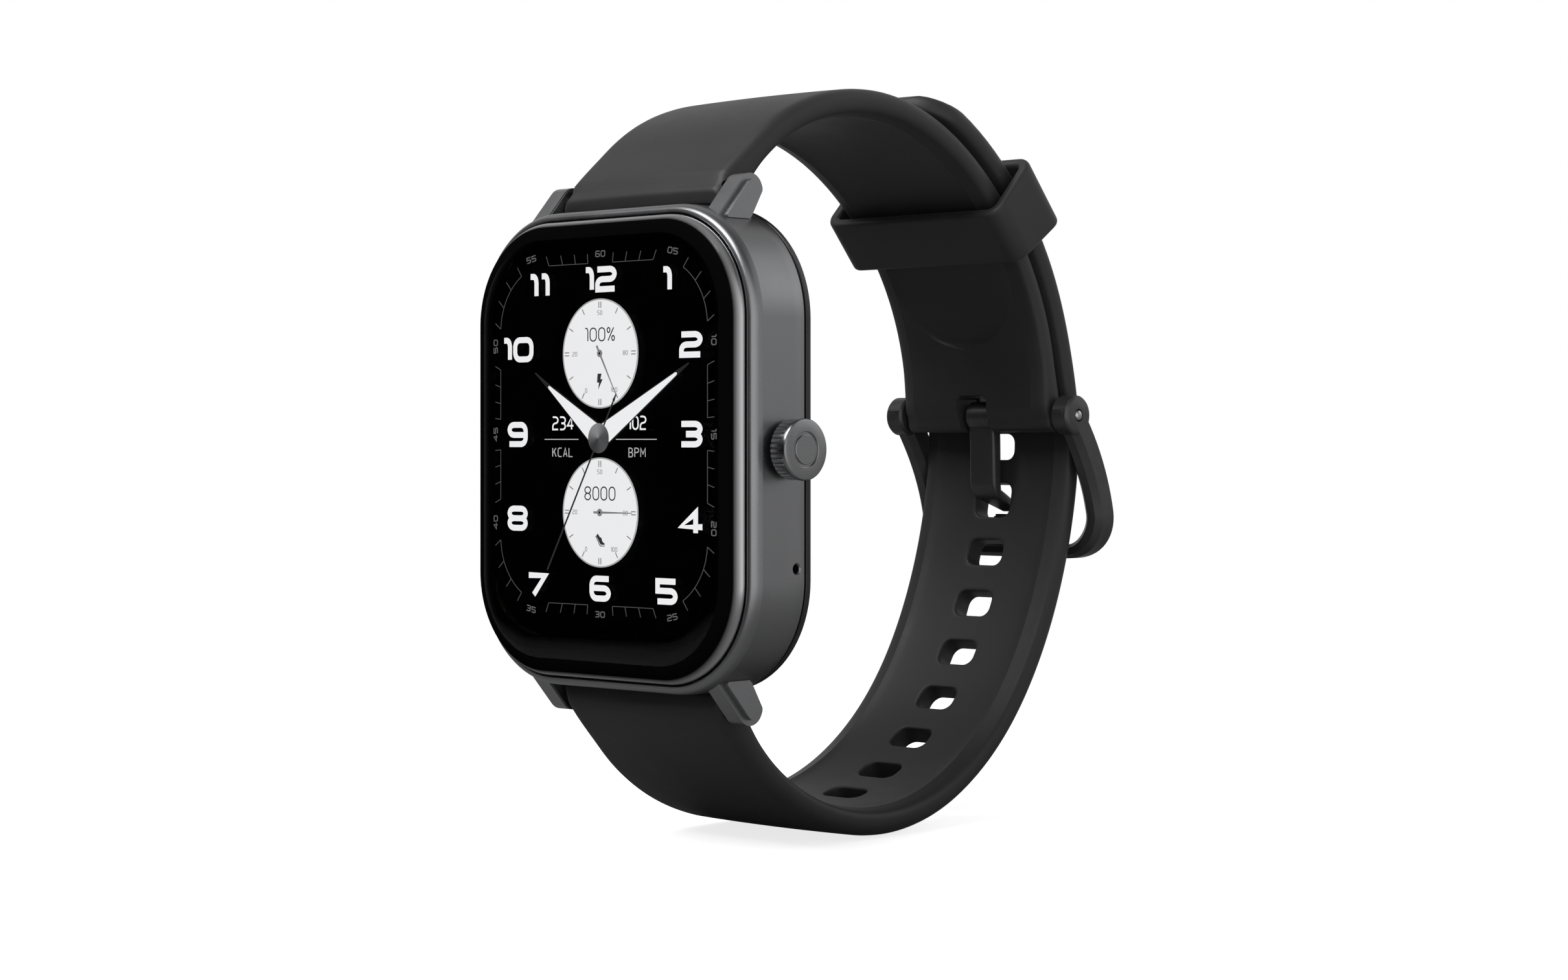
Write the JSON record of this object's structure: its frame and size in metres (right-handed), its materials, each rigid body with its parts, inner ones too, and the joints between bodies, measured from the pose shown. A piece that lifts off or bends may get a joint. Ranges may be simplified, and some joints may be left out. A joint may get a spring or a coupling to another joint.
{
  "type": "smartwatch",
  "caption": "Smartwatch with a rounded-square display in a dark metal case, a turning and pressing crown, and a buckled black silicone strap.",
  "frame": {"origin": "centre of the flat sensor window on the case back", "axes": "+X towards the crown, +Y out of the case back towards the wrist, +Z towards twelve o'clock; the display faces -Y"},
  "size_m": [0.0405, 0.0651, 0.075],
  "materials": {
    "case_metal": "fine blasted dark grey anodising",
    "crown_metal": "dark grey anodising, knurled edge",
    "cover_glass": "polished black-bordered cover glass",
    "display": "black display panel",
    "back_plastic": "satin black moulding",
    "sensor_lens": "dark polished window",
    "strap_silicone": "soft matte black silicone",
    "seal_rubber": "black seal",
    "buckle_metal": "black coated steel",
    "steel": "bright stainless steel",
    "shield": "tinned sheet",
    "inner_plastic": "black moulding",
    "board": "green solder mask",
    "battery_foil": "wrapped foil pouch",
    "gold": "gold plate",
    "polyimide": "amber film",
    "led": "green light package"
  },
  "bodies": {
    "watch": {"case_frame": "case_metal", "cover_glass": "cover_glass", "display_panel": "display", "display_flex": "polyimide", "glass_gasket": "seal_rubber", "chassis": "inner_plastic", "main_board": "board", "shield_can": "shield", "battery": "battery_foil", "motor_can": "shield", "motor_cap": "shield", "speaker": "inner_plastic", "microphone": "gold", "antenna": "gold", "sensor_board": "board", "sensor_led": "led", "photodiode_left": "inner_plastic", "photodiode_right": "inner_plastic", "light_barrier": "inner_plastic", "sensor_window": "sensor_lens", "rear_cover": "back_plastic", "rear_gasket": "seal_rubber", "rear_screw_top_right": "steel", "rear_screw_top_left": "steel", "rear_screw_bottom_right": "steel", "rear_screw_bottom_left": "steel", "charge_contact_left": "gold", "charge_contact_right": "gold", "charge_magnet_left": "steel", "charge_magnet_right": "steel", "crown_tube": "steel", "crown_o_ring": "seal_rubber", "crown_switch": "inner_plastic", "crown_bracket": "steel", "crown_encoder": "inner_plastic", "top_bar_tube": "steel", "top_bar_pin": "steel", "bottom_bar_tube": "steel", "bottom_bar_pin": "steel", "buckle_strap": "strap_silicone", "hole_strap": "strap_silicone", "buckle_pin": "steel"},
    "crown_slider": {"crown_plunger": "steel"},
    "crown": {"crown_knob": "crown_metal", "crown_shaft": "steel", "crown_clip": "steel"},
    "motor_weight": {"motor_rotor": "steel"},
    "top_lever": {"top_bar_release": "steel"},
    "bottom_lever": {"bottom_bar_release": "steel"},
    "keeper": {"strap_keeper": "strap_silicone"},
    "buckle": {"buckle_frame": "buckle_metal"},
    "tongue": {"buckle_tongue": "buckle_metal"}
  },
  "joints": [
    {"name": "crown_press", "type": "slide", "parent": "watch", "child": "crown_slider", "axis": [-1, 0, 0], "range_m": [0, 0.00035], "stiffness_N_per_m": 3000, "springref_m": -0.0002},
    {"name": "crown_turn", "type": "hinge", "parent": "crown_slider", "child": "crown", "pos_m": [0, -0.00465, 0], "axis": [1, 0, 0], "continuous": true},
    {"name": "motor_spin", "type": "hinge", "parent": "watch", "child": "motor_weight", "pos_m": [0.0115, -0.0057, 0.0115], "axis": [0, 1, 0], "continuous": true},
    {"name": "top_release", "type": "slide", "parent": "watch", "child": "top_lever", "axis": [-1, 0, 0], "range_m": [0, 0.0014], "stiffness_N_per_m": 900, "springref_m": -0.0005},
    {"name": "bottom_release", "type": "slide", "parent": "watch", "child": "bottom_lever", "axis": [-1, 0, 0], "range_m": [0, 0.0014], "stiffness_N_per_m": 900, "springref_m": -0.0005},
    {"name": "keeper_slide", "type": "hinge", "parent": "watch", "child": "keeper", "pos_m": [0, 0.01306, 0.00192], "axis": [1, 0, 0], "range_deg": [-4.5, 4.5]},
    {"name": "buckle_swing", "type": "hinge", "parent": "watch", "child": "buckle", "pos_m": [0, 0.0471, 0.0035], "axis": [1, 0, 0], "range_deg": [0, 95]},
    {"name": "tongue_swing", "type": "hinge", "parent": "watch", "child": "tongue", "pos_m": [0, 0.0471, 0.0035], "axis": [1, 0, 0], "range_deg": [-75, 0]}
  ]
}
